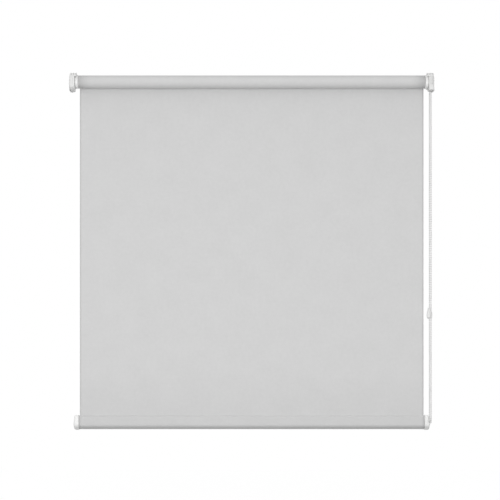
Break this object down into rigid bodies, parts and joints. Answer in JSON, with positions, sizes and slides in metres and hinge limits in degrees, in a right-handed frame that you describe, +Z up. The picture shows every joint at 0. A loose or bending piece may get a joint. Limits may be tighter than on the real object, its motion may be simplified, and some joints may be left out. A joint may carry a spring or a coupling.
{
  "type": "blackout roller blind",
  "caption": "Roller blind with a side bead chain: cloth wound on a tube between two covered brackets, with a cloth-wrapped bottom bar.",
  "frame": {"origin": "on the wall plane, midway between the brackets, level with the roller's axis", "axes": "+X along the roller to the chain side, on the right as seen from the room; +Y into the wall; +Z up"},
  "size_m": [0.9748, 0.057, 0.951],
  "materials": {
    "cloth": "matt light grey blackout cloth with a fine weave",
    "white_plastic": "moulded white plastic, satin",
    "inner_plastic": "moulded white plastic, matt",
    "bead_plastic": "moulded white plastic beads",
    "aluminium": "extruded, mill finish",
    "steel": "zinc plated"
  },
  "bodies": {
    "brackets": {"control_bracket": "white_plastic", "control_cover": "white_plastic", "chain_guard": "white_plastic", "drive_spindle": "inner_plastic", "spindle_clip": "steel", "spindle_screw": "steel", "idle_bracket": "white_plastic", "idle_cover": "white_plastic", "idle_housing": "white_plastic", "fabric_panel": "cloth", "chain_loop": "bead_plastic", "chain_on_wheel": "bead_plastic"},
    "roller": {"chain_wheel": "inner_plastic", "clutch_spring_inner": "steel", "clutch_spring_outer": "steel", "drive_plug": "white_plastic", "idle_plug": "white_plastic", "pin_spring": "steel", "roller_tube": "aluminium", "fabric_roll": "cloth"},
    "pin": {"idle_pin": "steel"},
    "bottom_bar": {"bar_profile": "aluminium", "bar_wrap": "cloth", "cloth_strip": "inner_plastic", "bar_cap_right": "white_plastic", "bar_cap_left": "white_plastic"},
    "connector": {"connector_front": "bead_plastic", "connector_back": "bead_plastic"}
  },
  "joints": [
    {"name": "roller_spin", "type": "hinge", "parent": "brackets", "child": "roller", "pos_m": [0, -0.034, 0], "axis": [1, 0, 0], "range_deg": [0, 2520], "deforming": ["chain_on_wheel"]},
    {"name": "bar_lift", "type": "slide", "parent": "brackets", "child": "bottom_bar", "axis": [0, 0, 1], "range_m": [0, 0.8301], "deforming": ["fabric_panel"]},
    {"name": "connector_run", "type": "slide", "parent": "brackets", "child": "connector", "axis": [0, 0, 1], "range_m": [0, 0.5041]},
    {"name": "pin_press", "type": "slide", "parent": "roller", "child": "pin", "axis": [1, 0, 0], "range_m": [0, 0.008], "stiffness_N_per_m": 800, "springref_m": -0.004, "deforming": ["pin_spring"]}
  ],
  "couplings": [
    {"joint": "bar_lift", "follows": "roller_spin", "m_per_rad": 0.018871},
    {"joint": "connector_run", "follows": "roller_spin", "m_per_rad": 0.011459}
  ]
}
